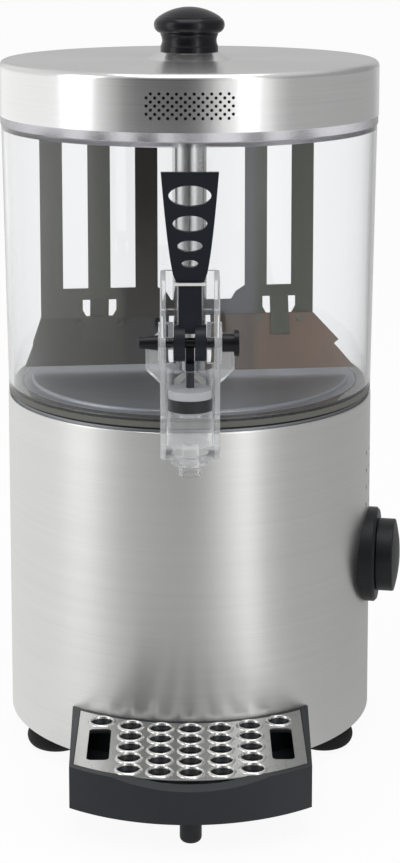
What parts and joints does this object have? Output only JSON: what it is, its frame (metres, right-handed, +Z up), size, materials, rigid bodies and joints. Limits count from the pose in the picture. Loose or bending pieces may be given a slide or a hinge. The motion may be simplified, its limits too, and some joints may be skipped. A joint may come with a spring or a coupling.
{
  "type": "hot chocolate dispenser",
  "caption": "Countertop hot chocolate dispenser: heated steel base, clear tank with mixer and lever tap, lift-off lid, side control knob and pull-out drip tray.",
  "frame": {"origin": "on the machine's vertical axis at table level, under the feet", "axes": "+Z up, -Y towards the tap and the drip tray, +X towards the control knob"},
  "size_m": [0.2623, 0.342, 0.4775],
  "materials": {
    "steel": "brushed stainless sheet",
    "plated_steel": "zinc plated",
    "aluminium": "cast",
    "bronze": "sintered",
    "motor_paint": "satin",
    "rubber": "matte",
    "grey_gasket": "translucent grey silicone",
    "clear_plastic": "clear polycarbonate",
    "white_plastic": "moulded",
    "black_plastic": "moulded, satin",
    "dark_plastic": "moulded, fine grain"
  },
  "bodies": {
    "base": {"casing": "steel", "base_plate": "plated_steel", "base_screws": "plated_steel", "rubber_feet": "rubber", "foot_screws": "plated_steel", "foot_nuts": "plated_steel", "floor_pan": "steel", "standpipe": "steel", "tank_gasket": "grey_gasket", "heat_spreader": "aluminium", "heating_element": "plated_steel", "limit_thermostat": "white_plastic", "motor_pillars": "plated_steel", "motor_plate": "plated_steel", "gear_motor": "motor_paint", "shaft_bushes": "bronze", "terminal_block": "white_plastic", "cord_gland": "black_plastic", "gland_nut": "black_plastic", "control_thermostat": "plated_steel", "knob_bezel": "black_plastic"},
    "knob": {"control_knob": "black_plastic", "knob_shaft": "plated_steel"},
    "mixer": {"drive_shaft": "plated_steel", "mixer_column": "steel", "column_cap": "steel", "left_mixer_wing": "steel", "right_mixer_wing": "steel", "left_mixer_blade": "steel", "right_mixer_blade": "steel", "mixer_rivets": "plated_steel"},
    "tank": {"tank": "clear_plastic", "tap_body": "clear_plastic", "tap_nut": "white_plastic", "tap_pivot_pin": "black_plastic", "pivot_end_cap": "black_plastic"},
    "lever": {"tap_lever": "black_plastic", "lever_collar": "white_plastic", "lever_peg": "plated_steel"},
    "piston": {"tap_piston": "white_plastic", "piston_seal": "rubber"},
    "lid": {"lid": "steel", "lid_knob": "black_plastic", "lid_screw": "plated_steel", "lid_washer": "plated_steel"},
    "tray": {"drip_tray": "dark_plastic", "tray_foot": "dark_plastic"},
    "grate": {"drip_grate": "steel"}
  },
  "joints": [
    {"name": "knob_turn", "type": "hinge", "parent": "base", "child": "knob", "pos_m": [0.1298, -0.02406, 0.1185], "axis": [0.9833, -0.1822, 0], "range_deg": [0, 270]},
    {"name": "mixer_spin", "type": "hinge", "parent": "base", "child": "mixer", "pos_m": [0, 0, 0.3], "axis": [0, 0, 1], "continuous": true},
    {"name": "tank_lift", "type": "slide", "parent": "base", "child": "tank", "axis": [0, 0, 1], "range_m": [0, 0.18]},
    {"name": "lid_lift", "type": "slide", "parent": "tank", "child": "lid", "axis": [0, 0, 1], "range_m": [0, 0.12]},
    {"name": "tap_lever_pull", "type": "hinge", "parent": "tank", "child": "lever", "pos_m": [0, -0.1425, 0.287], "axis": [1, 0, 0], "range_deg": [0, 60]},
    {"name": "piston_lift", "type": "slide", "parent": "tank", "child": "piston", "axis": [0, 0, 1], "range_m": [0, 0.0085]},
    {"name": "tray_pull", "type": "slide", "parent": "base", "child": "tray", "axis": [0, -1, 0], "range_m": [0, 0.1]},
    {"name": "grate_lift", "type": "slide", "parent": "tray", "child": "grate", "axis": [0, 0, 1], "range_m": [0, 0.05]}
  ],
  "couplings": [
    {"joint": "piston_lift", "follows": "tap_lever_pull", "m_per_rad": 0.00799}
  ]
}
